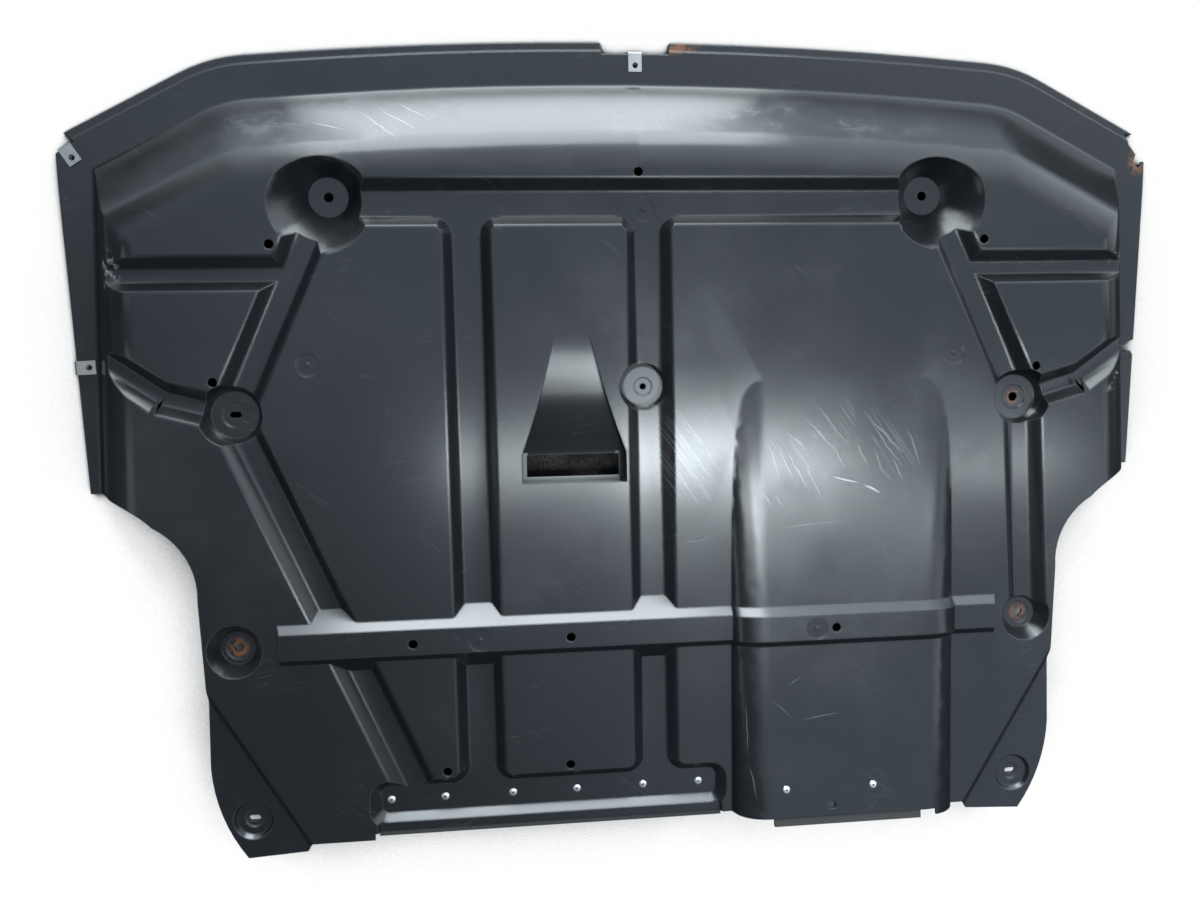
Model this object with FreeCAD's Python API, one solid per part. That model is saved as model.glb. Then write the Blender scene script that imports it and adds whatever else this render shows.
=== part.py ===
import FreeCAD, Part
import math
import os

# Engine splash shield: a moulded plastic undertray with its clip nuts, blind rivets and rear seal
# strips. It lies road side up on its rim: +X to the right as seen, +Y to the front of the car,
# +Z towards the road. Millimetres. The origin is under the middle of the whole part.

V = FreeCAD.Vector

# Wall and levels, measured down from the road-side skin of the main floor
wall = 2.8
floor_rise = 58.0
lip_drop = 3.0
channel_depth = 11.0
corner_depth = 7.0
rear_rim_depth = 4.0
block_low = -160.0
block_high = 160.0

# Clip nuts, which carry the rim when the part lies down
clip_sheet = 0.9
clip_gap = 0.1
clip_length = 17.0
clip_width = 13.0
clip_hole_setback = 11.0
centre_clip_x = 6.5
side_clip_y = 80.0
clip_hole_radius = 2.8
collar_height = 2.6
collar_radius = 4.4
collar_bore = 2.1
flange_hole_radius = 3.6

# Rim line: the crease where the flange turns into the wall, right half from the front centre
crease_front = 343.0
front_radius = 4200.0
front_half = 361.0
shoulder_turn = 22.5
shoulder_inner_radius = 9.4
corner_run = 111.0
side_tilt = 2.17
crease_fillet = 6.0
wall_slope = 40.0
wall_crown = 59.0
side_slope = 62.0
side_crown = 40.0
inner_land = 12.0
outer_land = 75.0
middle_overlap = 60.0
floor_rear = -440.0

# Outline of the sheet; points at the sides are a reach outward from the crease corner, and a Y
lip_width = 42.0
lip_step_inset = 33.0
lip_step_slope = 60.0
lip_run = 120.0
side_edge_front = (33.8, 278.0)
side_edge_upper = (33.3, 245.0)
side_edge_rear = (23.0, -40.0)
side_edge_inner = (-7.5, -40.0)
lip_end_inner = (16.5, 289.0)
waist_bend = (-29.5, -48.0)
waist_middle = (-53.5, -66.0)
waist_lower = (421.0, -93.0)
skirt_top = (412.0, -135.0)
skirt_middle = (409.0, -219.0)
skirt_low = (411.0, -295.0)
skirt_bend = (404.0, -338.0)
skirt_corner = (381.0, -385.0)
corner_edge_end = (326.0, -382.0)
diagonal_end = (320.0, -372.0)
rear_edge = -366.0
rear_edge_left = -262.0
rear_edge_right = 281.0

# Channels and rear pocket
channel_slope = 49.0
channel_root = 2.5
channel_brow = 4.5
brow_stop = 8.0
brow_reach = 6.0
least_brow = 0.8
panel_corner_radius = 19.0
corner_bite = 0.35
corner_apex = 4.0
above_floor = 2.0
channel_overrun = 8.0
rear_overrun = 60.0
corner_air = 200.0
corner_overrun = 80.0
cross_y = 222.5
cross_floor = 23.0
left_channel_x = -159.0
left_channel_floor = 25.0
centre_channel_x = 8.6
centre_channel_floor = 23.0
diagonal_floor = 19.0
side_channel_y = 160.0
side_channel_floor = 12.0
side_channel_inner = 318.0
side_channel_reach = 500.0
side_bend = (435.0, 51.0)
side_bend_end = (492.0, 92.0)
lower_diagonal_end = (-222.0, -325.0)
right_channel_end = (385.0, -183.0)
pocket_left = -256.0
pocket_right = 68.0
pocket_front = -325.0
pocket_rear = -351.0
pocket_corner_radius = 7.0
rear_rim_left = -256.0
rear_rim_right = 70.0
rear_rim_front = -352.0

# Round seats and deep cones, mirrored where the sides match
cone_centre = (288.0, 222.5)
cone_floor = (285.0, 232.5)
cone_rim_radius = 45.0
cone_floor_radius = 18.0
cone_brow_inset = 3.0
cone_brow_flare = 3.5
cone_depth = 32.0
middle_seat = (374.5, 34.0)
middle_seat_radius = 21.5
middle_seat_rim = 26.5
middle_seat_depth = 17.0
middle_seat_top = 29.0
centre_seat = (3.0, 52.0)
centre_seat_radius = 18.6
centre_seat_rim = 22.5
centre_seat_depth = 15.0
centre_seat_top = 24.5
lower_seat = (382.0, -183.5)
lower_seat_radius = 15.5
lower_seat_rim = 25.0
lower_seat_depth = 14.0
bottom_seat = (375.0, -348.0)
bottom_seat_radius = 15.8
bottom_seat_rim = 18.6
bottom_seat_depth = 11.0
seat_ring_depth = 1.0
middle_ring_radius = 11.2
centre_ring_radius = 8.0
lower_ring_radius = 10.5
bottom_ring_radius = 7.6

# Holes
bolt_radius = 4.4
centre_bolt_radius = 2.9
slot_length = 10.8
slot_width = 5.4
drain_radius = 4.2
drains = ((0.0, 249.0), (-333.0, 186.0), (333.0, 186.0), (-388.0, 64.0), (388.0, 64.0),
          (-219.0, -182.0), (-72.0, -182.0), (181.0, -181.0), (-192.0, -309.0), (-75.0, -309.0),
          (176.0, -355.0))
gates = ((6.0, 217.0), (-304.0, 78.0), (304.0, 78.0), (-157.0, -181.0), (162.0, -181.0))
gate_radius = 10.5
gate_depth = 0.6
gate_stub_radius = 1.7
gate_stub_height = 2.4

# Raised bar across the floor and the bulge behind it
bar_height = 7.0
bar_front = -168.0
bar_rear = -192.0
bar_left = -340.0
bar_right = 346.0
bar_slope = 45.0
bar_end_slope = 68.0
bar_root_depth = 18.0
bulge_left = 82.0
bulge_left_top = 118.0
bulge_right_top = 268.0
bulge_right = 306.0
bulge_front = 95.0
bulge_rear = -420.0
bulge_root = 3.0
flank_foot = 0.06
flank_rise = 0.6
flank_shoulder = 0.4
bulge_base = 30.0
band_sink = 1.0
bulge_front_height = -2.0
bulge_rear_height = 25.0

# Flush air inlet
duct_x = -64.5
duct_front = 114.0
duct_front_half = 13.5
duct_middle = 71.0
duct_middle_half = 23.5
duct_mouth = -9.0
duct_mouth_half = 49.0
duct_rear = -37.0
duct_depth = 25.0
duct_crown = 7.0
duct_crown_y = 58.0
mouth_front = -12.0
mouth_rear = -33.0
mouth_half = 44.5
mouth_top = 2.0
duct_base = 40.0
duct_front_overrun = 12.0
duct_rear_overrun = 20.0
duct_foot_drop = 3.0

# Blind rivets and seal strips along the rear edge
rivet_row = -338.0
left_rivets = (-247.0, -196.0, -131.0, -69.0, -4.0, 51.0)
bulge_rivets = (131.0, 217.0)
rivet_radius = 2.0
rivet_clearance = 0.1
rivet_head_radius = 4.1
rivet_head_height = 1.3
head_crown_share = 0.6
head_shoulder_share = 0.9
head_shoulder_rise = 0.55
bulb_straight_share = 0.6
rivet_bulb_radius = 3.1
rivet_bulb_length = 4.0
mandrel_radius = 1.0
mandrel_sink = 0.5
mandrel_head_radius = 1.8
mandrel_tail_radius = 1.5
mandrel_tail_length = 1.5
rivet_hole_overrun = 1.0
strip_thickness = 4.0
strip_front = -329.0
strip_rear = -375.0
left_strip = (-260.0, 74.0)
bulge_strip = (120.0, 266.0)

# Torn and broken places
notch_left = -26.0
notch_right = 40.0
notch_flare = 6.0
notch_depth = 11.5
torn_side = ((43.5, 92.0), (29.5, 90.0), (20.5, 87.0), (14.5, 81.0), (17.5, 76.0),
             (24.5, 78.0), (27.5, 73.0), (43.5, 74.0))
torn_corner = ((13.5, 300.0), (16.5, 289.0), (24.5, 279.0), (21.5, 270.0), (28.5, 265.0),
               (31.5, 272.0), (43.5, 268.0), (43.5, 300.0))

shoulder_reach = 2 * corner_run + outer_land
flange_skin = collar_height + clip_sheet + clip_gap + wall
floor_z = flange_skin + floor_rise


def level(depth):
    """Height of a skin that lies a depth below the floor skin."""
    return floor_z - depth


def mirrored(point):
    """The matching plan point on the other side."""
    return (-point[0], point[1])


def flipped(point):
    """The mirror image of a plan vector across the middle of the car."""
    return V(-point.x, point.y, point.z)


def face_from(points):
    """Flat face with straight sides through a closed run of points."""
    return Part.Face(Part.makePolygon(list(points) + [points[0]]))


def prism(plan, low, high):
    """Upright prism on a plan polygon."""
    return face_from([V(x, y, low) for x, y in plan]).extrude(V(0, 0, high - low))


def box_between(x_range, y_range, z_range):
    """Upright box between three pairs of limits."""
    size = [high - low for low, high in (x_range, y_range, z_range)]
    return Part.makeBox(*size, V(x_range[0], y_range[0], z_range[0]))


def both_sides(shape):
    """A shape and its mirror image across the middle of the car."""
    return [shape, shape.mirror(V(0, 0, 0), V(1, 0, 0))]


def wall_run(slope, crown):
    """Plan width of a wall from its crease to where it meets the floor."""
    turn = math.radians(slope)
    straight_rise = floor_rise - crown * (1 - math.cos(turn))
    return crown * math.sin(turn) + straight_rise / math.tan(turn)


class RimLine:
    """Right half of the rim crease round the front, moved inward by an offset."""

    def __init__(self, offset):
        front_turn = math.degrees(math.asin(front_half / front_radius))
        radius = wall_run(wall_slope, wall_crown) + inner_land + shoulder_inner_radius
        self.turns = (0.0, front_turn, front_turn + shoulder_turn)
        self.front_centre = V(0, crease_front - front_radius, 0)
        self.shoulder_centre = self.front_centre + self.outward(1) * (front_radius - radius)
        self.front = self.front_centre + self.outward(0) * (front_radius - offset)
        self.front_end = self.front_centre + self.outward(1) * (front_radius - offset)
        self.shoulder_end = self.shoulder_centre + self.outward(2) * (radius - offset)
        self.front_middle = self.arc_point(self.front_centre, front_radius - offset, 0, 1)
        self.shoulder_middle = self.arc_point(self.shoulder_centre, radius - offset, 1, 2)
        self.corner = self.shoulder_end + self.along(2) * corner_run

    def outward(self, station):
        turn = math.radians(self.turns[station])
        return V(math.sin(turn), math.cos(turn), 0)

    def along(self, station):
        turn = math.radians(self.turns[station])
        return V(math.cos(turn), -math.sin(turn), 0)

    def arc_point(self, centre, radius, start, end):
        turn = math.radians((self.turns[start] + self.turns[end]) / 2)
        return centre + V(math.sin(turn), math.cos(turn), 0) * radius


def side_point(place):
    """Plan point at the right side, given as a reach outward from the crease corner and a Y."""
    return V(RimLine(0.0).corner.x + place[0], place[1], 0)


def sweep_along_rim(profile, shoulder_length):
    """Sweep a profile round the right half of the front; profile(origin, inward) gives its face."""
    rim = RimLine(0.0)
    axis = V(0, 0, -1)
    return [
        profile(rim.front, -rim.outward(0)).revolve(rim.front_centre, axis, rim.turns[1]),
        profile(rim.front_end, -rim.outward(1)).revolve(rim.shoulder_centre, axis, shoulder_turn),
        profile(rim.shoulder_end, -rim.outward(2)).extrude(rim.along(2) * shoulder_length),
    ]


def wall_profile(origin, inward, slope, crown, land, inset):
    """Section of flange, fillet, wall, crown and land, moved into the material by an inset."""
    turn = math.radians(slope)
    flange = level(floor_rise) - inset
    crease = inset * math.tan(turn / 2)
    fillet = crease_fillet + inset
    tangent = fillet * math.tan(turn / 2)
    run = wall_run(slope, crown)
    inner_end = run + land
    crown_radius = crown - inset

    def at(distance, height):
        return origin + inward * distance + V(0, 0, height)

    def on_fillet(angle):
        return at(crease - tangent + fillet * math.sin(angle), flange + fillet * (1 - math.cos(angle)))

    def on_crown(angle):
        return at(run - crown_radius * math.sin(angle), level(crown) + crown_radius * math.cos(angle))

    edges = [
        Part.LineSegment(at(-outer_land, block_low), at(-outer_land, flange)).toShape(),
        Part.LineSegment(at(-outer_land, flange), on_fillet(0)).toShape(),
        Part.Arc(on_fillet(0), on_fillet(turn / 2), on_fillet(turn)).toShape(),
        Part.LineSegment(on_fillet(turn), on_crown(turn)).toShape(),
        Part.Arc(on_crown(turn), on_crown(turn / 2), on_crown(0)).toShape(),
        Part.LineSegment(on_crown(0), at(inner_end, level(0) - inset)).toShape(),
        Part.LineSegment(at(inner_end, level(0) - inset), at(inner_end, block_low)).toShape(),
        Part.LineSegment(at(inner_end, block_low), at(-outer_land, block_low)).toShape(),
    ]
    return Part.Face(Part.Wire(edges))


def floor_block(inset):
    """Block under the main floor, reaching into the land inside the front wall."""
    rim = RimLine(wall_run(wall_slope, wall_crown) + inner_land / 2)
    shoulder_far = rim.shoulder_end + rim.along(2) * shoulder_reach
    rear_far = V(shoulder_far.x, floor_rear, 0)
    rear_middle = V(0, floor_rear, 0)
    edges = [
        Part.Arc(rim.front, rim.front_middle, rim.front_end).toShape(),
        Part.Arc(rim.front_end, rim.shoulder_middle, rim.shoulder_end).toShape(),
        Part.LineSegment(rim.shoulder_end, shoulder_far).toShape(),
        Part.LineSegment(shoulder_far, rear_far).toShape(),
        Part.LineSegment(rear_far, rear_middle).toShape(),
        Part.LineSegment(rear_middle, rim.front).toShape(),
    ]
    face = Part.Face(Part.Wire(edges))
    face.translate(V(0, 0, block_low))
    return face.extrude(V(0, 0, level(inset) - block_low))


def front_body(inset):
    """Solid under the skin of the front flange, the sloped apron and the floor behind it."""

    def profile(origin, inward):
        return wall_profile(origin, inward, wall_slope, wall_crown, inner_land, inset)

    pieces = sweep_along_rim(profile, shoulder_reach)
    half = pieces[0].multiFuse(pieces[1:] + [floor_block(inset)]).removeSplitter()
    return half.fuse(both_sides(half)[1]).removeSplitter()


def side_body(inset):
    """Solid under the skin of both side flanges, their steep walls and the floor between them."""
    corner = RimLine(0.0).corner
    turn = math.radians(side_tilt)
    along = V(math.sin(turn), -math.cos(turn), 0)
    inward = V(along.y, -along.x, 0)
    land = corner.x + middle_overlap - wall_run(side_slope, side_crown)
    start = corner - along * ((crease_front + 2 * outer_land - corner.y) / math.cos(turn))
    length = (start.y - floor_rear) / math.cos(turn)
    half = wall_profile(start, inward, side_slope, side_crown, land, inset).extrude(along * length)
    return half.fuse(both_sides(half)[1]).removeSplitter()


def tray_body(inset):
    """Solid under the skin of flange, walls and floor, with a mitred corner where the walls meet."""
    return front_body(inset).common(side_body(inset))


def lip_cutters(inset):
    """Air above the stepped lip along the front and both shoulders."""
    slope = math.radians(lip_step_slope)
    top = -lip_step_inset + inset * math.tan(slope / 2)
    foot = top - lip_drop / math.tan(slope)
    flange = level(floor_rise) - inset

    def profile(origin, inward):
        section = ((top, block_high), (top, flange), (foot, flange - lip_drop),
                   (-outer_land - lip_width, flange - lip_drop), (-outer_land - lip_width, block_high))
        return face_from([origin + inward * s + V(0, 0, z) for s, z in section])

    pieces = sweep_along_rim(profile, lip_run)
    half = pieces[0].multiFuse(pieces[1:])
    return both_sides(half)


def channel(start, end, floor_width, depth, inset):
    """Straight channel with sloped sides, chamfered roots and round brows, grown by an inset."""
    slope = math.radians(channel_slope)
    stop = math.radians(brow_stop)
    root = channel_root + inset
    brow = max(channel_brow - inset, least_brow)
    half = floor_width / 2 + inset * math.tan(slope / 2)
    bottom = level(depth) - inset
    root_tangent = root * math.tan(slope / 2)
    brow_tangent = brow * math.tan(slope / 2)
    brow_centre = half + depth / math.tan(slope) + brow_tangent
    skin = level(0) - inset
    origin = V(start[0], start[1], 0)
    run = V(end[0] - start[0], end[1] - start[1], 0)
    across = V(-run.y, run.x, 0).normalize()

    def at(distance, height):
        return origin + across * distance + V(0, 0, height)

    def side(sign):
        def on_root(turn):
            return at(sign * (half - root_tangent + root * math.sin(turn)),
                      bottom + root * (1 - math.cos(turn)))

        def on_brow(turn):
            return at(sign * (brow_centre - brow * math.sin(turn)), skin - brow * (1 - math.cos(turn)))

        brow_out = on_brow(stop) + across * (sign * brow_reach) + V(0, 0, brow_reach * math.tan(stop))
        high = V(brow_out.x, brow_out.y, block_high)
        return [
            Part.LineSegment(on_root(0), on_root(slope)).toShape(),
            Part.LineSegment(on_root(slope), on_brow(slope)).toShape(),
            Part.Arc(on_brow(slope), on_brow((slope + stop) / 2), on_brow(stop)).toShape(),
            Part.LineSegment(on_brow(stop), brow_out).toShape(),
            Part.LineSegment(brow_out, high).toShape(),
        ], on_root(0), high

    left, left_foot, left_high = side(1)
    right, right_foot, right_high = side(-1)
    joins = [Part.LineSegment(left_foot, right_foot).toShape(),
             Part.LineSegment(left_high, right_high).toShape()]
    wire = Part.Wire(Part.__sortEdges__(left + right + joins))
    return Part.Face(wire).extrude(run)


def rounded_rectangle(x_range, y_range, radius, height):
    """Closed wire round a rectangle with round corners."""
    (x0, x1), (y0, y1) = x_range, y_range
    corners = ((x1, y1, 1, 1), (x0, y1, -1, 1), (x0, y0, -1, -1), (x1, y0, 1, -1))
    arcs = []
    for x, y, right, front in corners:
        centre = V(x - right * radius, y - front * radius, height)
        along_x = centre + V(right * radius, 0, 0)
        along_y = centre + V(0, front * radius, 0)
        middle = centre + V(right, front, 0).normalize() * radius
        ends = (along_x, along_y) if right == front else (along_y, along_x)
        arcs.append((ends[0], middle, ends[1]))
    edges = []
    for arc, following in zip(arcs, arcs[1:] + arcs[:1]):
        edges.append(Part.Arc(*arc).toShape())
        edges.append(Part.LineSegment(arc[2], following[0]).toShape())
    return Part.Wire(edges)


def pocket(x_range, y_range, depth, inset):
    """Flat-bottomed pocket with sloped sides and round corners."""
    slope = math.radians(channel_slope)
    grow = inset * math.tan(slope / 2)
    low = level(depth) - inset
    flare = (block_high - low) / math.tan(slope)

    def outline(margin, height):
        grown = [(first - margin, last + margin) for first, last in (x_range, y_range)]
        return rounded_rectangle(grown[0], grown[1], pocket_corner_radius + margin, height)

    return Part.makeLoft([outline(grow, low), outline(grow + flare, block_high)], True, True)


def panel_corner(vertex, first, second, inset):
    """Rounds a panel's corner between two channels; the panel lies between two directions."""
    slope = math.radians(channel_slope)
    bisector = (first + second).normalize()
    half_angle = first.getAngle(second) / 2
    centre = vertex + bisector * ((panel_corner_radius - corner_bite) / math.sin(half_angle))
    apex = vertex - bisector * corner_apex
    overlap = first.dot(second)
    first_normal = (first * overlap - second).normalize()
    second_normal = (second * overlap - first).normalize()
    low = level(channel_depth) - inset

    def outline(height):
        grow = inset * math.tan(slope / 2) + (height - low) / math.tan(slope)
        radius = panel_corner_radius - grow
        rise = V(0, 0, height)
        start = centre + first_normal * radius + rise
        middle = centre - bisector * radius + rise
        end = centre + second_normal * radius + rise
        return Part.Wire([Part.Arc(start, middle, end).toShape(),
                          Part.LineSegment(end, apex + rise).toShape(),
                          Part.LineSegment(apex + rise, start).toShape()])

    return Part.makeLoft([outline(low), outline(level(-above_floor))], True, True)


def panel_corner_cutters(inset):
    """Rounded panel corners along the cross channel and the front of the rear pocket."""
    cuts = []
    for x, floor_width in ((left_channel_x, left_channel_floor), (centre_channel_x, centre_channel_floor)):
        for sign in (-1, 1):
            edge = x + sign * floor_width / 2
            for y, along in ((cross_y - cross_floor / 2, V(0, -1, 0)), (pocket_front, V(0, 1, 0))):
                cuts.append(panel_corner(V(edge, y, 0), V(sign, 0, 0), along, inset))
    return cuts


def channel_cutters(inset):
    """Every channel in the floor, the dropped rear corners and the rear pockets."""
    cuts = [
        channel((-cone_centre[0], cross_y), (cone_centre[0], cross_y), cross_floor, channel_depth, inset),
        channel((left_channel_x, cross_y), (left_channel_x, pocket_front - channel_overrun),
                left_channel_floor, channel_depth, inset),
        channel((centre_channel_x, cross_y), (centre_channel_x, pocket_front - channel_overrun),
                centre_channel_floor, channel_depth, inset),
        channel(mirrored(middle_seat), lower_diagonal_end, diagonal_floor, channel_depth, inset),
        channel(middle_seat, right_channel_end, diagonal_floor, channel_depth, inset),
    ]
    upper = channel(cone_centre, middle_seat, diagonal_floor, channel_depth, inset)
    side = channel((side_channel_inner, side_channel_y), (side_channel_reach, side_channel_y),
                   side_channel_floor, channel_depth, inset)
    bend_inner = channel(middle_seat, side_bend, side_channel_floor, channel_depth, inset)
    bend_outer = channel(side_bend, side_bend_end, side_channel_floor, channel_depth, inset)
    for cutter in (upper, side, bend_inner, bend_outer, corner_cutter(inset)):
        cuts.extend(both_sides(cutter))
    cuts.append(pocket((pocket_left, pocket_right), (pocket_rear, pocket_front), channel_depth, inset))
    cuts.append(pocket((rear_rim_left, rear_rim_right), (rear_edge - rear_overrun, rear_rim_front),
                       rear_rim_depth, inset))
    return cuts


def corner_cutter(inset):
    """Air above a dropped rear corner, beyond its diagonal step."""
    step_run = corner_depth / math.tan(math.radians(channel_slope))
    start = V(skirt_middle[0], skirt_middle[1], 0)
    end = V(diagonal_end[0], diagonal_end[1], 0)
    along = (end - start).normalize()
    outward = V(-along.y, along.x, 0)
    shift = outward * (corner_air / 2 + step_run)
    first = start - along * corner_overrun + shift
    last = end + along * corner_overrun + shift
    return channel((first.x, first.y), (last.x, last.y), corner_air, corner_depth, inset)


def grown_section(points, inset):
    """Move a run of (radius, height) points outward and down by an inset, with mitred corners."""
    moved = []
    for index, (radius, height) in enumerate(points):
        normals = []
        for first, second in ((index - 1, index), (index, index + 1)):
            if first < 0 or second >= len(points):
                continue
            run = points[second][0] - points[first][0]
            rise = points[second][1] - points[first][1]
            length = math.hypot(run, rise)
            normals.append((rise / length, -run / length))
        if len(normals) == 1:
            moved.append((radius + normals[0][0] * inset, height + normals[0][1] * inset))
            continue
        (ax, az), (bx, bz) = normals
        share = inset / (1 + ax * bx + az * bz)
        moved.append((radius + (ax + bx) * share, height + (az + bz) * share))
    return moved


def round_recess(centre, section, inset):
    """Round recess turned from a section of (radius, height) points, floor centre first."""
    points = grown_section(section, inset)
    points[0] = (0.0, points[0][1])
    top = points[-1]
    points = points + [(top[0], block_high), (0.0, block_high)]
    face = face_from([V(centre[0] + radius, centre[1], height) for radius, height in points])
    return face.revolve(V(centre[0], centre[1], 0), V(0, 0, 1), 360)


def seat_floor(radius, ring_radius, depth):
    """First points of a seat's section: a sunk ring round the bolt hole, then the seat."""
    return ((0.0, level(depth + seat_ring_depth)), (ring_radius, level(depth + seat_ring_depth)),
            (ring_radius + seat_ring_depth, level(depth)), (radius, level(depth)))


def deep_cone(inset):
    """Right deep bolt cone: a round rim that narrows to a floor set nearer the front."""
    section = ((0.0, level(cone_depth)), (cone_floor_radius, level(cone_depth)),
               (cone_rim_radius - cone_brow_inset, level(cone_brow_inset)),
               (cone_rim_radius + cone_brow_flare, level(-above_floor)))
    rings = []
    for index, (radius, height) in enumerate(grown_section(section, inset)[1:]):
        x, y = cone_floor if index == 0 else cone_centre
        rings.append(Part.Wire(Part.makeCircle(radius, V(x, y, height))))
    return Part.makeLoft(rings, True, True)


def recess_cutters(inset):
    """Deep cones and washer seats."""
    middle = seat_floor(middle_seat_radius, middle_ring_radius, middle_seat_depth) + (
        (middle_seat_rim, level(channel_depth)), (middle_seat_top, level(-above_floor)))
    centre = seat_floor(centre_seat_radius, centre_ring_radius, centre_seat_depth) + (
        (centre_seat_rim, level(channel_depth)), (centre_seat_top, level(-above_floor)))
    lower = seat_floor(lower_seat_radius, lower_ring_radius, lower_seat_depth) + (
        (lower_seat_rim, level(0.0)), (lower_seat_rim + above_floor, level(-above_floor)))
    bottom = seat_floor(bottom_seat_radius, bottom_ring_radius, bottom_seat_depth) + (
        (bottom_seat_rim, level(corner_depth)), (bottom_seat_rim + above_floor, level(0.0)))
    cuts = [round_recess(centre_seat, centre, inset)] + both_sides(deep_cone(inset))
    for place, section in ((middle_seat, middle), (lower_seat, lower), (bottom_seat, bottom)):
        cuts.append(round_recess(place, section, inset))
        cuts.append(round_recess(mirrored(place), section, inset))
    return cuts


def duct_cutter(inset):
    """Flush air inlet: a plan that widens to the rear over a ramp that curves down."""
    low = level(duct_depth) - duct_base
    front = duct_front + inset
    rear = duct_rear - inset
    corners = ((duct_front_half, front), (duct_middle_half, duct_middle), (duct_mouth_half, duct_mouth))
    right = [V(duct_x + half + inset, y, low) for half, y in corners]
    left = [V(duct_x - half - inset, y, low) for half, y in corners]
    rear_right = V(right[2].x, rear, low)
    rear_left = V(left[2].x, rear, low)
    edges = [
        Part.LineSegment(left[0], right[0]).toShape(),
        Part.Arc(right[0], right[1], right[2]).toShape(),
        Part.LineSegment(right[2], rear_right).toShape(),
        Part.LineSegment(rear_right, rear_left).toShape(),
        Part.LineSegment(rear_left, left[2]).toShape(),
        Part.Arc(left[2], left[1], left[0]).toShape(),
    ]
    plan = Part.Face(Part.Wire(edges)).extrude(V(0, 0, block_high - low))
    side_x = duct_x - 2 * duct_mouth_half
    ramp_front = duct_front + duct_front_overrun
    ramp = Part.Arc(V(side_x, ramp_front, level(-above_floor) - inset),
                    V(side_x, duct_crown_y, level(duct_crown) - inset),
                    V(side_x, duct_mouth, level(duct_depth) - inset))
    foot = V(side_x, duct_rear - duct_rear_overrun, level(duct_depth + duct_foot_drop) - inset)
    rear_top = V(side_x, foot.y, 2 * block_high)
    front_top = V(side_x, ramp_front, 2 * block_high)
    outline = [
        ramp.toShape(),
        Part.LineSegment(ramp.EndPoint, foot).toShape(),
        Part.LineSegment(foot, rear_top).toShape(),
        Part.LineSegment(rear_top, front_top).toShape(),
        Part.LineSegment(front_top, ramp.StartPoint).toShape(),
    ]
    above = Part.Face(Part.Wire(outline)).extrude(V(4 * duct_mouth_half, 0, 0))
    return plan.common(above)


def bar_body(inset):
    """Raised bar across the floor with sloped sides."""
    top = level(-bar_height) - inset
    low = level(bar_root_depth) - inset
    side = (top - low) / math.tan(math.radians(bar_slope))
    end = (top - low) / math.tan(math.radians(bar_end_slope))
    side_inset = inset * math.tan(math.radians(bar_slope) / 2)
    end_inset = inset * math.tan(math.radians(bar_end_slope) / 2)

    def outline(grow_x, grow_y, height):
        x0 = bar_left + end_inset - grow_x
        x1 = bar_right - end_inset + grow_x
        y0 = bar_rear + side_inset - grow_y
        y1 = bar_front - side_inset + grow_y
        corners = [V(x0, y0, height), V(x1, y0, height), V(x1, y1, height), V(x0, y1, height)]
        return Part.makePolygon(corners + [corners[0]])

    return Part.makeLoft([outline(end, side, low), outline(0.0, 0.0, top)], True, True)


def bulge_height(y):
    """Height of the bulge's flat top above the floor at a place along the car."""
    share = (bulge_front - y) / (bulge_front - bulge_rear)
    return bulge_front_height + share * (bulge_rear_height - bulge_front_height)


def bulge_section(y, lift):
    """Section of the bulge across the car, raised by a lift, with sides that round into its top."""
    root = level(bulge_root) + lift
    top = level(-bulge_height(y)) + lift
    low = root - bulge_base

    def flank(outer, inner):
        poles = [V(outer, y, root),
                 V(outer + flank_foot * (inner - outer), y, root + flank_rise * (top - root)),
                 V(outer + flank_shoulder * (inner - outer), y, top), V(inner, y, top)]
        curve = Part.BezierCurve()
        curve.setPoles(poles)
        return curve.toShape()

    edges = [
        flank(bulge_left, bulge_left_top),
        Part.LineSegment(V(bulge_left_top, y, top), V(bulge_right_top, y, top)).toShape(),
        flank(bulge_right, bulge_right_top),
        Part.LineSegment(V(bulge_right, y, root), V(bulge_right, y, low)).toShape(),
        Part.LineSegment(V(bulge_right, y, low), V(bulge_left, y, low)).toShape(),
        Part.LineSegment(V(bulge_left, y, low), V(bulge_left, y, root)).toShape(),
    ]
    return Part.Wire(Part.__sortEdges__(edges))


def bulge_bodies(inset):
    """The bulge and the bar's band over it."""
    ends = [bulge_section(y, -inset) for y in (bulge_front, bulge_rear)]
    bulge = Part.makeLoft(ends, True, True)
    foot = (bar_height + band_sink) / math.tan(math.radians(bar_slope))
    shift = inset * math.tan(math.radians(bar_slope) / 2)
    stations = ((bar_front - shift + foot, -band_sink), (bar_front - shift, bar_height),
                (bar_rear + shift, bar_height), (bar_rear + shift - foot, -band_sink))
    band = Part.makeLoft([bulge_section(y, lift - inset) for y, lift in stations], True, True)
    return [bulge, band]


def skin_body(inset):
    """Solid under the whole road-side skin, moved into the material by an inset."""
    body = tray_body(inset)
    for cutter in lip_cutters(inset) + channel_cutters(inset) + panel_corner_cutters(inset):
        body = body.cut(cutter)
    for raised in [bar_body(inset)] + bulge_bodies(inset):
        body = body.fuse(raised)
    for cutter in recess_cutters(inset) + [duct_cutter(inset)]:
        body = body.cut(cutter)
    return body


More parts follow.
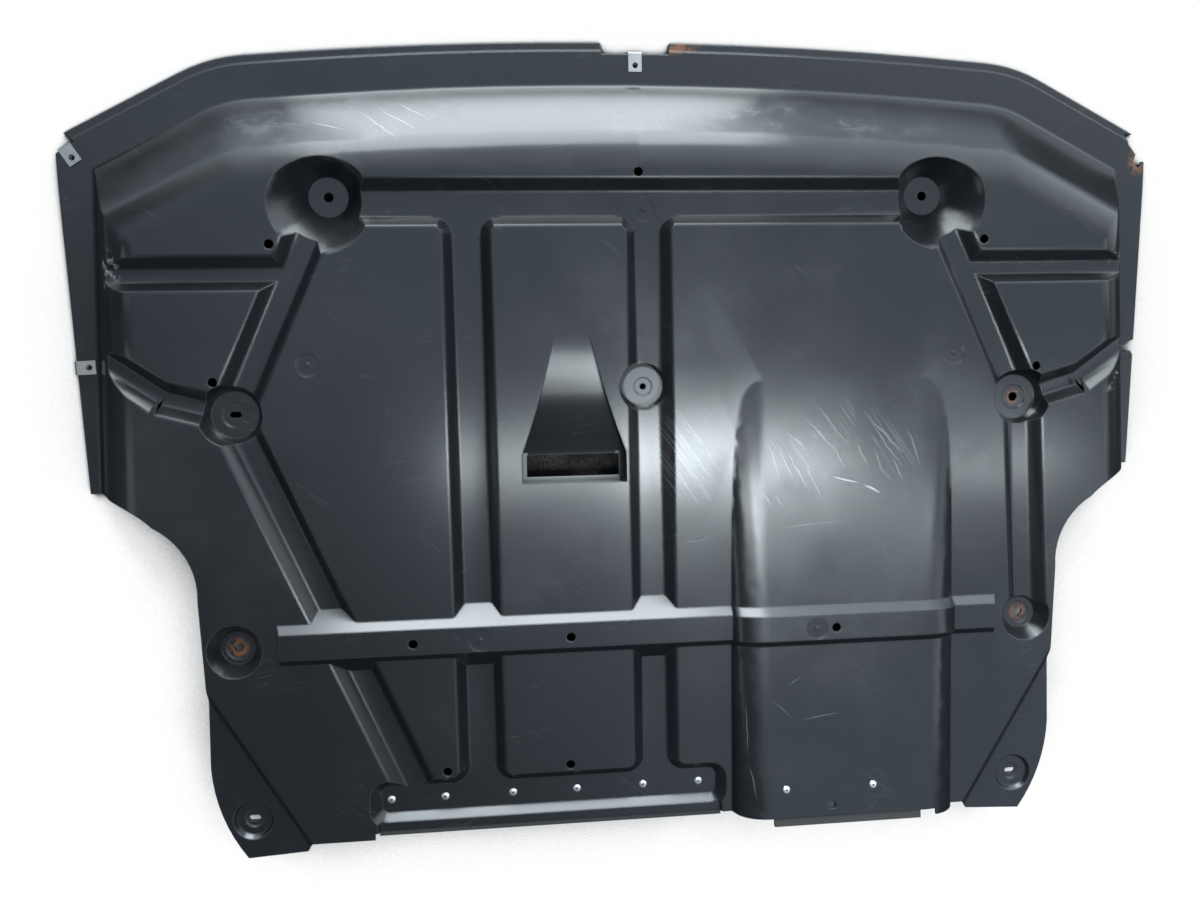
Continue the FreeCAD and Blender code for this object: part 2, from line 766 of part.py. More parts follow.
def sheet_outline():
    """Upright prism on the outline of the sheet."""
    rim = RimLine(-lip_width)
    lip_end = rim.shoulder_end + rim.along(2) * lip_run

    def at(point):
        return V(point[0], point[1], 0)

    def half(turned):
        place = flipped if turned else (lambda point: point)
        arcs = ((rim.front_middle, rim.front_end, rim.front),
                (rim.shoulder_middle, rim.shoulder_end, rim.front_end),
                (side_point(waist_bend), side_point(waist_middle), side_point(side_edge_inner)),
                (at(waist_lower), at(skirt_top), side_point(waist_middle)),
                (at(skirt_bend), at(skirt_corner), at(skirt_low)))
        sides = [side_point(place) for place in (lip_end_inner, side_edge_front, side_edge_upper,
                                                 side_edge_rear, side_edge_inner)]
        runs = ((rim.shoulder_end, lip_end), (lip_end, sides[0]), *zip(sides, sides[1:]),
                (at(skirt_top), at(skirt_middle)), (at(skirt_middle), at(skirt_low)),
                (at(skirt_corner), at(corner_edge_end)), (at(corner_edge_end), at(diagonal_end)))
        edges = [Part.Arc(place(first), place(middle), place(last)).toShape()
                 for middle, last, first in arcs]
        edges.extend(Part.LineSegment(place(first), place(last)).toShape() for first, last in runs)
        return edges

    rear = [V(diagonal_end[0], diagonal_end[1], 0), V(rear_edge_right, diagonal_end[1], 0),
            V(rear_edge_right, rear_edge, 0), V(rear_edge_left, rear_edge, 0),
            V(rear_edge_left, diagonal_end[1], 0), V(-diagonal_end[0], diagonal_end[1], 0)]
    rear_edges = [Part.LineSegment(first, last).toShape() for first, last in zip(rear, rear[1:])]
    wire = Part.Wire(Part.__sortEdges__(half(False) + half(True) + rear_edges))
    face = Part.Face(wire)
    face.translate(V(0, 0, block_low))
    return face.extrude(V(0, 0, 2 * block_high - block_low))


def bore(place, radius):
    """Upright round cutter through the whole sheet."""
    return Part.makeCylinder(radius, block_high + floor_z, V(place[0], place[1], -block_high / 2))


def slot(place, length, width):
    """Upright cutter with round ends, long across the car."""
    half = (length - width) / 2
    left = bore((place[0] - half, place[1]), width / 2)
    right = bore((place[0] + half, place[1]), width / 2)
    middle = box_between((place[0] - half, place[0] + half), (place[1] - width / 2, place[1] + width / 2),
                         (-block_high / 2, floor_z + block_high / 2))
    return left.multiFuse([right, middle])


def notch_edge():
    """Front edge of the flange inside the lip notch."""
    return crease_front + lip_width - notch_depth


def clip_places():
    """Fold point and inward direction of each clip nut: front centre, left corner, left side."""
    corner_a, corner_b, side_a, side_b = [
        flipped(side_point(place))
        for place in (lip_end_inner, side_edge_front, side_edge_upper, side_edge_rear)]
    edge = (corner_b - corner_a).normalize()
    side = (side_b - side_a).normalize()
    side_fold = side_a + side * ((side_a.y - side_clip_y) / -side.y)
    return ((V(centre_clip_x, notch_edge(), 0), V(0, -1, 0)),
            ((corner_a + corner_b) / 2, V(-edge.y, edge.x, 0)),
            (side_fold, V(-side.y, side.x, 0)))


def clip_nut(fold, inward):
    """Spring-steel clip nut folded over the edge of the flange, with its threaded collar below."""
    across = V(-inward.y, inward.x, 0)
    reach = wall / 2 + clip_gap
    middle = flange_skin - wall / 2

    def at(distance, height):
        return fold + inward * distance + V(0, 0, middle + height) - across * (clip_width / 2)

    def ring(radius):
        return Part.Arc(at(0, radius), at(-radius, 0), at(0, -radius)).toShape()

    outer = reach + clip_sheet
    edges = [
        ring(outer), ring(reach),
        Part.LineSegment(at(0, outer), at(clip_length, outer)).toShape(),
        Part.LineSegment(at(clip_length, outer), at(clip_length, reach)).toShape(),
        Part.LineSegment(at(clip_length, reach), at(0, reach)).toShape(),
        Part.LineSegment(at(0, -outer), at(clip_length, -outer)).toShape(),
        Part.LineSegment(at(clip_length, -outer), at(clip_length, -reach)).toShape(),
        Part.LineSegment(at(clip_length, -reach), at(0, -reach)).toShape(),
    ]
    clip = Part.Face(Part.Wire(Part.__sortEdges__(edges))).extrude(across * clip_width)
    hole = fold + inward * clip_hole_setback
    collar = Part.makeCylinder(collar_radius, collar_height, V(hole.x, hole.y, 0))
    clip = clip.fuse(collar).removeSplitter()
    thread = Part.makeCylinder(collar_bore, collar_height + 2 * clip_sheet, V(hole.x, hole.y, 0))
    face_hole = Part.makeCylinder(clip_hole_radius, 4 * clip_sheet, V(hole.x, hole.y, flange_skin))
    return clip.cut([thread, face_hole])


def bulge_tilt():
    """Tilt of the bulge's top towards the rear, in degrees."""
    return math.degrees(math.atan2(bulge_rear_height - bulge_front_height, bulge_front - bulge_rear))


def rivet_places():
    """Seat point on the skin and tilt about X of each rivet."""
    flat = [(V(x, rivet_row, level(channel_depth)), 0.0) for x in left_rivets]
    raised = [(V(x, rivet_row, level(-bulge_height(rivet_row))), -bulge_tilt()) for x in bulge_rivets]
    return flat + raised


def placed(shape, place, tilt):
    """A shape turned about X and moved to its seat."""
    shape = shape.copy()
    shape.Placement = FreeCAD.Placement(place, FreeCAD.Rotation(V(1, 0, 0), tilt))
    return shape


def turned(points):
    """Solid turned about the upright axis from (radius, height) points."""
    return face_from([V(radius, 0, height) for radius, height in points]).revolve(V(), V(0, 0, 1), 360)


def rivet_body():
    """Set blind rivet with its head on the skin and its bulb behind the strip."""
    grip = wall + strip_thickness
    bore_radius = mandrel_radius + rivet_clearance / 2
    return turned([(bore_radius, rivet_head_height),
                   (head_crown_share * rivet_head_radius, rivet_head_height),
                   (head_shoulder_share * rivet_head_radius, head_shoulder_rise * rivet_head_height),
                   (rivet_head_radius, 0.0),
                   (rivet_radius, 0.0), (rivet_radius, -grip), (rivet_bulb_radius, -grip),
                   (rivet_bulb_radius, -grip - bulb_straight_share * rivet_bulb_length),
                   (rivet_radius, -grip - rivet_bulb_length), (bore_radius, -grip - rivet_bulb_length)])


def rivet_mandrel():
    """Broken mandrel stub left inside a set rivet."""
    grip = wall + strip_thickness
    tail = -grip - rivet_bulb_length
    break_height = rivet_head_height - mandrel_sink
    return turned([(0.0, break_height), (mandrel_radius, break_height),
                   (mandrel_radius, tail), (mandrel_head_radius, tail),
                   (mandrel_tail_radius, tail - mandrel_tail_length), (0.0, tail - mandrel_tail_length)])


def rivet_hole():
    """Clearance hole for a rivet's shank."""
    length = wall + strip_thickness + 2 * rivet_hole_overrun
    return Part.makeCylinder(rivet_radius + rivet_clearance, length, V(0, 0, rivet_hole_overrun - length))


def seal_strips():
    """Soft strips behind the rear edge: one under the rivet pocket, one under the bulge."""
    top = level(channel_depth) - wall
    left = box_between(left_strip, (strip_rear, strip_front), (top - strip_thickness, top))
    drop = wall / math.cos(math.radians(bulge_tilt()))

    def at(y, depth):
        return V(bulge_strip[0], y, level(-bulge_height(y)) - depth)

    side = face_from([at(strip_front, drop), at(strip_front, drop + strip_thickness),
                      at(strip_rear, drop + strip_thickness), at(strip_rear, drop)])
    right = side.extrude(V(bulge_strip[1] - bulge_strip[0], 0, 0))
    holes = [placed(rivet_hole(), place, tilt) for place, tilt in rivet_places()]
    return [left.cut(holes[:len(left_rivets)]), right.cut(holes[len(left_rivets):])]


def panel_holes():
    """Bolt holes, slots, drains, rivet holes, the inlet's mouth and the torn places."""
    cuts = [bore(cone_floor, bolt_radius), bore(mirrored(cone_floor), bolt_radius),
            bore(lower_seat, bolt_radius), bore(mirrored(lower_seat), bolt_radius),
            bore(middle_seat, bolt_radius), slot(mirrored(middle_seat), slot_length, slot_width),
            bore(centre_seat, centre_bolt_radius),
            slot(bottom_seat, slot_length, slot_width),
            slot(mirrored(bottom_seat), slot_length, slot_width)]
    cuts.extend(bore(place, drain_radius) for place in drains)
    cuts.extend(placed(rivet_hole(), place, tilt) for place, tilt in rivet_places())
    for fold, inward in clip_places():
        centre = fold + inward * clip_hole_setback
        cuts.append(bore((centre.x, centre.y), flange_hole_radius))
    cuts.append(box_between((duct_x - mouth_half, duct_x + mouth_half), (mouth_rear, mouth_front),
                            (-block_high / 2, level(mouth_top))))
    front = crease_front + 2 * lip_width
    cuts.append(prism([(notch_left, notch_edge()), (notch_right, notch_edge()),
                       (notch_right + notch_flare, front), (notch_left - notch_flare, front)],
                      block_low, block_high))
    for tear in (torn_side, torn_corner):
        plan = [side_point(place) for place in tear]
        cuts.append(prism([(point.x, point.y) for point in plan], block_low, block_high))
    return cuts


def skin_level(place):
    """Skin height under each gate mark."""
    x, y = place
    in_cross_channel = abs(y - cross_y) < cross_floor / 2
    on_bar = bar_rear < y < bar_front
    on_bulge = bulge_left_top < x < bulge_right_top
    if in_cross_channel:
        return level(channel_depth)
    if on_bar and on_bulge:
        return level(-bar_height - bulge_height(y))
    if on_bar:
        return level(-bar_height)
    return level(0.0)


def shield_panel():
    """The moulded sheet: everything between the two skins, cut to the outline and pierced."""
    outer = skin_body(0.0).common(sheet_outline())
    panel = outer.cut(skin_body(wall))
    marks = []
    stubs = []
    for x, y in gates:
        floor = skin_level((x, y)) - gate_depth
        marks.append(Part.makeCylinder(gate_radius, 3 * gate_depth, V(x, y, floor)))
        stubs.append(Part.makeCylinder(gate_stub_radius, gate_stub_height, V(x, y, floor - gate_depth)))
    panel = panel.cut(panel_holes() + marks)
    return panel.multiFuse(stubs).removeSplitter()


def main():
    """Build every piece and write one file for each node."""
    os.makedirs("parts", exist_ok=True)
    nodes = {
        "shield_panel": [shield_panel()],
        "clip_nuts": [clip_nut(fold, inward) for fold, inward in clip_places()],
        "blind_rivets": [placed(rivet_body(), place, tilt) for place, tilt in rivet_places()],
        "rivet_mandrels": [placed(rivet_mandrel(), place, tilt) for place, tilt in rivet_places()],
        "rear_seal_strips": seal_strips(),
    }
    for name, solids in nodes.items():
        shape = solids[0] if len(solids) == 1 else Part.makeCompound(solids)
        shape.exportStep("parts/" + name + ".step")


main()
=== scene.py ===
import math

import bpy
from mathutils import Matrix, Vector

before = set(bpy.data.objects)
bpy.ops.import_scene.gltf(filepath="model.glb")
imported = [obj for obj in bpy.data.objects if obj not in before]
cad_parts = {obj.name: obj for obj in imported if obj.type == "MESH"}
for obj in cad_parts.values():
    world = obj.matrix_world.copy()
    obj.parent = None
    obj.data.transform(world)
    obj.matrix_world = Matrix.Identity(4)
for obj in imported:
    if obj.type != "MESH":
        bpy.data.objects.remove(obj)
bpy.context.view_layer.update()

# Camera: solved from mirrored features of the shield, in metres and degrees
CAMERA_PLACE = (-0.1175, 0.0654, 0.9014)
CAMERA_YAW = 5.252
CAMERA_PITCH = 4.785
CAMERA_ROLL = 1.168
CAMERA_LENS = 27.0
SENSOR_WIDTH = 36.0

# Stage and light
FLOOR_SIZE = 14.0
FLOOR_COLOUR = (0.86, 0.86, 0.85, 1.0)
# Floor colour that reflections see: painted shade, dark behind a pale band ahead
FLOOR_REFLECTED_SHADE = (0.035, 0.034, 0.033, 1.0)
FLOOR_FRONT = (0.86, 0.88, 0.90, 1.0)
FLOOR_FRONT_FROM = 0.42
FLOOR_FRONT_FULL = 0.60
SHADOW_REACH = 0.12
SHADOW_DARK = 0.68
SHADOW_CLEAR = 0.88
SHADOW_COLOUR = (0.02, 0.02, 0.02, 1.0)
LAMP_COLOUR = (0.88, 0.97, 1.0)
BACKDROP_WHITE = (1.0, 1.0, 1.0, 1.0)
SKY_LOW = (0.10, 0.105, 0.115, 1.0)
SKY_HIGH = (0.84, 1.00, 1.19, 1.0)
SKY_FRONT = (2.3, 2.6, 2.8, 1.0)
SKY_FRONT_AXIS = (0.34, 0.94, 0.0)
SKY_FRONT_FROM = 0.24
SKY_FRONT_FULL = 0.80
SKY_CORNER = (0.20, 0.21, 0.23, 1.0)
SKY_CORNER_AXIS = (-0.743, -0.669, 0.0)
SKY_CORNER_FROM = 0.06
SKY_CORNER_FULL = 0.41
SKY_LOW_UNTIL = 0.40
SKY_HIGH_FROM = 0.80

# Smoothing of the frame's facets, rounded edges and leaned normals
BEVEL_SAMPLES = 2
OPEN_SAMPLES = 2
FLOOR_SAMPLES = 8
EDGE_FLAT = 0.985
EDGE_ROUNDED = 0.90
OPEN_FROM = 0.80
OPEN_FULL = 0.97
NORMAL_WEIGHT = 100
WELD_DISTANCE = 0.00002
SHARP_ANGLE = 34.0
EDGE_ROUND = 0.0022
OPEN_DISTANCE = 0.006
FLANK_FROM = 0.655
FLANK_FULL = 0.700
FLANK_LEAN = 0.16
LATTICE_SHIFT = (0.37, 0.41, 0.53)
FLANK_BOX = ((0.0, 0.08), (0.6, 0.33))
RAMP_BOX = ((-0.07, 0.075), (0.050, 0.045))
RAMP_FLATTEN = 0.55

# Finishes and painted highlight colours, as linear colours
PLASTIC_COLOUR = (0.0075, 0.0086, 0.0102, 1.0)
PLASTIC_HAZE = (0.018, 0.020, 0.022, 1.0)
PLASTIC_SCUFF_AND_SHEEN = (0.16, 0.165, 0.17, 1.0)
PLASTIC_CRACK = (0.002, 0.002, 0.002, 1.0)
RUST_COLOUR = (0.15, 0.062, 0.025, 1.0)
WHITENING_AND_HIGHLIGHT = (0.36, 0.36, 0.35, 1.0)
ZINC_COLOUR = (0.46, 0.45, 0.43, 1.0)
ALUMINIUM_COLOUR = (0.80, 0.80, 0.79, 1.0)
MANDREL_COLOUR = (0.05, 0.048, 0.045, 1.0)
SEAL_COLOUR = (0.022, 0.022, 0.022, 1.0)

# Plastic: noise settings (scale per metre, detail and roughness), strengths of wear, painted
# highlights and roughness
CLOUD_NOISE = (6.0, 4.0, 0.62)
CLOUD_RANGE = (0.45, 0.78)
GRAIN_NOISE = (900.0, 2.0, 0.5)
GRAIN_STRENGTH = 0.04
GRAIN_HEIGHT = 0.0002
WANDER_NOISE = (60.0, 2.0)
WANDER_WIDTH = 0.004
BLOTCH_NOISE = (22.0, 6.0, 0.68)
BLOTCH_RANGE = (0.45, 0.72)
BLOTCH_STRETCH = (1.0, 1.8, 1.0)
STRESS_NOISE = (120.0, 4.0, 0.7)
STRESS_RANGE = (0.52, 0.66)
RUST_NOISE = (150.0, 5.0, 0.6)
RUST_RANGE = (0.36, 0.58)
HAZE_BLEND = 0.35
APRON_BLEND = 0.30
EDGE_WEAR_AND_SHEEN_BLEND = 0.30
DISC_BLEND = 0.45
STREAK_BLEND = 0.17
STROKE_BLEND = 0.28
FINE_BLEND = 0.03
DENT_HIGHLIGHT_BLEND = 0.95
LIP_HIGHLIGHT_BLEND = 0.55
STRESS_BLEND = 0.6
PLASTIC_ROUGH = 0.19
HAZE_ROUGH = 0.10
SCUFF_ROUGH = 0.30
PLASTIC_IOR = 1.5
PLASTIC_GLOSS = 0.5
FLANK_SHEEN = 0.5
# Fine lines: turn in degrees, shift, stretch, spacing, width and cover of each set
STREAK_LINES = (-56.0, 0.21, 5.0, 190.0, 0.06, 0.46)
FINE_LINES = ((12.0, 0.11, 7.0, 150.0, 0.012, 0.56), (-38.0, 0.77, 7.0, 140.0, 0.012, 0.56))
BREAK_NOISE = (16.0, 2.0)
BREAK_SOFT = 0.10
# Shares of a scratch's width and length, and of a patch's or disc's radius
STROKE_CORE = 0.15
STROKE_EDGE = 0.75
LINE_CORE = 0.25
PATCH_END = 1.1
PATCH_FULL = 0.35
DISC_EDGE = 0.96
# Metal and seal
METAL_NOISE = (260.0, 4.0, 0.6)
METAL_DULL = 0.6
METAL_ROUGH_SPREAD = 0.2
ZINC_ROUGH = 0.28
ALUMINIUM_ROUGH = 0.22
MANDREL_ROUGH = 0.45
PORE_NOISE = (700.0, 4.0, 0.7)
PORE_COLOUR = (0.07, 0.07, 0.068, 1.0)
PORE_STRENGTH = 0.6
PORE_DEPTH = 0.001
SEAL_ROUGH = 0.85
FLOOR_ROUGH = 0.9
MASK_SOFT = 0.02

# Lamps: name, place, target, size in metres and power in watts
LAMPS = (
    ("front_window", (-0.08, 1.15, 0.29), (-0.08, 0.0, 0.29), (0.95, 0.56), 11.5),
    ("front_floor_glow", (-0.10, 0.75, 0.004), (-0.10, 0.75, 1.0), (0.52, 0.62), 9.0),
    ("overhead_lamp", (0.31, -0.155, 1.56), (0.31, -0.155, 0.0), (0.29, 0.14), 5.4),
    ("overhead_tail", (0.32, -0.40, 1.56), (0.32, -0.40, 0.0), (0.30, 0.30), 0.45),
    ("overhead_left", (-0.05, -0.16, 1.56), (-0.05, -0.16, 0.0), (0.45, 0.09), 2.6),
    ("overhead_bulge", (0.62, -0.085, 1.56), (0.62, -0.085, 0.0), (0.30, 0.10), 3.6),
    ("overhead_right", (1.12, -0.19, 1.56), (1.12, -0.19, 0.0), (0.50, 0.09), 2.4),
    ("side_left", (-1.5, -0.40, 1.35), (-0.2, -0.20, 0.05), (0.9, 0.45), 1.8),
    ("side_right", (1.7, -0.40, 1.25), (0.2, -0.20, 0.05), (0.9, 0.45), 1.8),
)

# Single scratches on the plastic: start, end and width in metres
SCRATCHES = (
    ((0.094, -0.248), (0.095, -0.310), 0.0009), ((0.095, -0.310), (0.104, -0.349), 0.0009),
    ((0.114, -0.248), (0.142, -0.271), 0.0006), ((0.142, -0.271), (0.192, -0.265), 0.0007),
    ((0.134, -0.237), (0.150, -0.227), 0.0007), ((0.112, -0.086), (0.205, -0.080), 0.0008),
    ((0.034, -0.099), (0.068, -0.093), 0.0006), ((0.146, 0.031), (0.196, -0.026), 0.0018),
    ((0.160, 0.040), (0.205, -0.016), 0.0015), ((0.208, 0.029), (0.262, -0.026), 0.0024),
    ((0.214, 0.024), (0.258, -0.040), 0.0016), ((0.254, 0.012), (0.272, -0.036), 0.0016),
    ((0.180, -0.002), (0.197, -0.036), 0.0014), ((0.203, -0.002), (0.222, -0.034), 0.0014),
    ((0.220, -0.006), (0.236, -0.044), 0.0014), ((0.240, -0.018), (0.253, -0.048), 0.0018),
    ((0.130, 0.014), (0.166, -0.020), 0.0014), ((0.116, 0.006), (0.133, -0.046), 0.0020),
    ((0.124, 0.004), (0.148, -0.050), 0.0018), ((0.134, -0.004), (0.162, -0.058), 0.0018),
    ((0.152, -0.020), (0.176, -0.066), 0.0016), ((0.112, -0.046), (0.124, -0.068), 0.0014),
    ((0.122, -0.050), (0.136, -0.070), 0.0014), ((-0.262, 0.318), (-0.212, 0.276), 0.0016),
    ((-0.245, 0.322), (-0.196, 0.286), 0.0014), ((-0.228, 0.326), (-0.186, 0.300), 0.0014),
    ((-0.300, 0.300), (-0.262, 0.290), 0.0020),
)
# Painted highlight along the dent edge on the bulge, drawn as lines: start, end and width in metres
DENT_EDGE_HIGHLIGHTS = (
    ((0.176, -0.036), (0.212, -0.046), 0.0016), ((0.210, -0.045), (0.232, -0.056), 0.0022),
)
# Boxes whose difference is the painted highlight on the lip of the inlet mouth: centre and half
# sizes
LIP_OUTSIDE = ((-0.0664, -0.02325), (0.0470, 0.01425))
LIP_INSIDE = ((-0.0657, -0.0131), (0.0427, 0.0172))
LIP_SOFT = 0.001
# Lighter, rougher discs: centre and radius
LIGHTER_DISCS = (((-0.0005, 0.0555), 0.0195),)
CRACKS = (
    ((0.270, 0.294), (0.266, 0.266), 0.0011), ((0.326, 0.282), (0.318, 0.262), 0.0011),
    ((0.330, 0.249), (0.360, 0.255), 0.0008),
)
# Patches of wear: centre, half sizes and turn in degrees
APRON_SCUFFS = (((-0.27, 0.300), (0.16, 0.034), 2.0), ((0.10, 0.302), (0.25, 0.030), -1.0))
STREAK_PATCHES = (((0.195, -0.010), (0.085, 0.055), -20.0), ((0.045, -0.020), (0.035, 0.060), 0.0))
RUST_PATCHES = (((0.382, -0.1835), (0.011, 0.011), 0.0), ((-0.382, -0.1835), (0.011, 0.011), 0.0),
                ((0.3745, 0.034), (0.009, 0.009), 0.0), ((0.040, 0.381), (0.034, 0.009), 0.0),
                ((0.528, 0.272), (0.012, 0.016), 0.0))
STRESS_PATCHES = (((-0.476, 0.165), (0.012, 0.022), 0.0), ((0.476, 0.052), (0.022, 0.008), 42.0),
                  ((0.476, 0.165), (0.010, 0.020), 0.0), ((0.514, -0.029), (0.012, 0.012), 0.0),
                  ((0.512, 0.081), (0.010, 0.008), 20.0))


class Nodes:
    """Short hand for building a material's node tree."""

    def __init__(self, tree):
        self.tree = tree
        self.tree.nodes.clear()
        self.shared_coords = None

    def add(self, kind, **settings):
        node = self.tree.nodes.new(kind)
        for name, value in settings.items():
            setattr(node, name, value)
        return node

    def link(self, source, target):
        self.tree.links.new(source, target)

    def feed(self, socket, value):
        """Links an output to a socket, or sets the socket to a constant."""
        if isinstance(value, bpy.types.NodeSocket):
            self.link(value, socket)
        else:
            socket.default_value = value

    def math(self, operation, first, second=0.0, clamp=False):
        node = self.add("ShaderNodeMath", operation=operation, use_clamp=clamp)
        self.feed(node.inputs[0], first)
        self.feed(node.inputs[1], second)
        return node.outputs[0]

    def blend(self, factor, first, second):
        node = self.add("ShaderNodeMix", data_type="RGBA")
        self.feed(node.inputs[0], factor)
        self.feed(node.inputs[6], first)
        self.feed(node.inputs[7], second)
        return node.outputs[2]

    def span(self, value, low, high, out_low=0.0, out_high=1.0):
        """Maps a value from one range to another with soft ends."""
        node = self.add("ShaderNodeMapRange", interpolation_type="SMOOTHSTEP")
        self.feed(node.inputs[0], value)
        node.inputs[1].default_value = low
        node.inputs[2].default_value = high
        node.inputs[3].default_value = out_low
        node.inputs[4].default_value = out_high
        return node.outputs[0]

    def coords(self):
        """Object coordinates, from one node that the whole tree shares."""
        if self.shared_coords is None:
            self.shared_coords = self.add("ShaderNodeTexCoord").outputs["Object"]
        return self.shared_coords

    def place(self, location=(0.0, 0.0, 0.0), turn=0.0, scale=(1.0, 1.0, 1.0)):
        """Object coordinates moved to a place, turned about Z and scaled."""
        point = self.coords()
        if any(location):
            centred = self.add("ShaderNodeVectorMath", operation="SUBTRACT")
            self.link(point, centred.inputs[0])
            centred.inputs[1].default_value = location
            point = centred.outputs[0]
        if turn:
            turned = self.add("ShaderNodeVectorRotate", rotation_type="Z_AXIS")
            self.link(point, turned.inputs["Vector"])
            turned.inputs["Angle"].default_value = -turn
            point = turned.outputs[0]
        if scale != (1.0, 1.0, 1.0):
            scaled = self.add("ShaderNodeVectorMath", operation="MULTIPLY")
            self.link(point, scaled.inputs[0])
            scaled.inputs[1].default_value = scale
            point = scaled.outputs[0]
        return point

    def noise(self, vector, scale, detail=3.0, roughness=0.5):
        node = self.add("ShaderNodeTexNoise")
        self.feed(node.inputs["Vector"], vector)
        node.inputs["Scale"].default_value = scale
        node.inputs["Detail"].default_value = detail
        node.inputs["Roughness"].default_value = roughness
        return node.outputs["Fac"]


def new_material(name):
    """An empty node material with its output and principled shader."""
    material = bpy.data.materials.new(name)
    material.use_nodes = True
    nodes = Nodes(material.node_tree)
    output = nodes.add("ShaderNodeOutputMaterial")
    shader = nodes.add("ShaderNodeBsdfPrincipled")
    nodes.link(shader.outputs[0], output.inputs[0])
    return material, nodes, shader


def rounded_normal(nodes, height, strength, distance):
    """Normal with rounded edges and a bump on top, and masks of proud edges, which carry edge wear
    and a painted highlight, and of front flanks, which get a painted sheen.
    """
    bevel = nodes.add("ShaderNodeBevel", samples=BEVEL_SAMPLES)
    bevel.inputs["Radius"].default_value = EDGE_ROUND
    bump = nodes.add("ShaderNodeBump")
    bump.inputs["Strength"].default_value = strength
    bump.inputs["Distance"].default_value = distance
    nodes.feed(bump.inputs["Height"], height)
    nodes.link(bevel.outputs[0], bump.inputs["Normal"])
    geometry = nodes.add("ShaderNodeNewGeometry")
    match = nodes.add("ShaderNodeVectorMath", operation="DOT_PRODUCT")
    nodes.link(bevel.outputs[0], match.inputs[0])
    nodes.link(geometry.outputs["Normal"], match.inputs[1])
    edges = nodes.span(match.outputs["Value"], EDGE_FLAT, EDGE_ROUNDED)
    openness = nodes.add("ShaderNodeAmbientOcclusion", samples=OPEN_SAMPLES, only_local=True)
    openness.inputs["Distance"].default_value = OPEN_DISTANCE
    proud = nodes.math("MULTIPLY", edges, nodes.span(openness.outputs["AO"], OPEN_FROM, OPEN_FULL))
    leaned, steep = leaned_normal(nodes, bump.outputs[0])
    return leaned, proud, steep


def leaned_normal(nodes, normal):
    """Leans steep front flanks further forward and lays the top of the inlet ramp flatter."""
    split = nodes.add("ShaderNodeSeparateXYZ")
    nodes.link(normal, split.inputs[0])
    steep = nodes.span(split.outputs["Y"], FLANK_FROM, FLANK_FULL)
    lean = nodes.math("MULTIPLY", steep, box_mask(nodes, *FLANK_BOX))
    lean = nodes.math("MULTIPLY", lean, FLANK_LEAN)
    ramp = nodes.math("MULTIPLY", box_mask(nodes, *RAMP_BOX), RAMP_FLATTEN)
    forward = nodes.math("ADD", split.outputs["Y"], lean)
    forward = nodes.math("MULTIPLY", forward, nodes.math("SUBTRACT", 1.0, ramp))
    whole = nodes.add("ShaderNodeCombineXYZ")
    nodes.link(split.outputs["X"], whole.inputs["X"])
    nodes.link(forward, whole.inputs["Y"])
    nodes.link(split.outputs["Z"], whole.inputs["Z"])
    unit = nodes.add("ShaderNodeVectorMath", operation="NORMALIZE")
    nodes.link(whole.outputs[0], unit.inputs[0])
    return unit.outputs["Vector"], steep


def stroke(nodes, start, end, width, wavy):
    """Mask of one line from a start to an end in plan, thinner to its ends; used for scratches,
    cracks and a painted highlight.
    """
    middle = Vector(((start[0] + end[0]) / 2, (start[1] + end[1]) / 2, 0.0))
    along = Vector((end[0] - start[0], end[1] - start[1], 0.0)).normalized()
    across = Vector((-along[1], along[0], 0.0))
    along = along / (math.dist(start, end) / 2)
    across = across / (STROKE_EDGE * width)
    both = nodes.add("ShaderNodeCombineXYZ")
    for axis, direction in (("X", along), ("Y", across)):
        reach = nodes.add("ShaderNodeVectorMath", operation="DOT_PRODUCT")
        nodes.link(wavy, reach.inputs[0])
        reach.inputs[1].default_value = direction
        nodes.link(reach.outputs["Value"], both.inputs[axis])
    away = nodes.add("ShaderNodeVectorMath", operation="DISTANCE")
    nodes.link(both.outputs[0], away.inputs[0])
    away.inputs[1].default_value = (middle.dot(along), middle.dot(across), 0.0)
    return nodes.span(away.outputs["Value"], STROKE_CORE, 1.0, 1.0, 0.0)


def patch(nodes, centre, half, turn):
    """Soft oval mask in plan."""
    split = nodes.add("ShaderNodeVectorMath", operation="LENGTH")
    scale = (1.0 / half[0], 1.0 / half[1], 0.0)
    nodes.link(nodes.place((centre[0], centre[1], 0.0), math.radians(turn), scale), split.inputs[0])
    return nodes.span(split.outputs["Value"], PATCH_END, PATCH_FULL)


def disc(nodes, centre, radius):
    """Mask of a round spot in plan with a crisp edge."""
    reach = nodes.add("ShaderNodeVectorMath", operation="LENGTH")
    scale = (1.0 / radius, 1.0 / radius, 0.0)
    nodes.link(nodes.place((centre[0], centre[1], 0.0), 0.0, scale), reach.inputs[0])
    return nodes.span(reach.outputs["Value"], 1.0, DISC_EDGE)


def mouth_lip_highlight(nodes):
    """Mask of the painted highlight on the lip on three sides of the inlet mouth."""
    outside = box_mask(nodes, *LIP_OUTSIDE, LIP_SOFT)
    inside = box_mask(nodes, *LIP_INSIDE, LIP_SOFT)
    return nodes.math("MULTIPLY", outside, nodes.math("SUBTRACT", 1.0, inside))


def joined(nodes, masks):
    """The strongest of several masks."""
    total = masks[0]
    for mask in masks[1:]:
        total = nodes.math("MAXIMUM", total, mask)
    return total


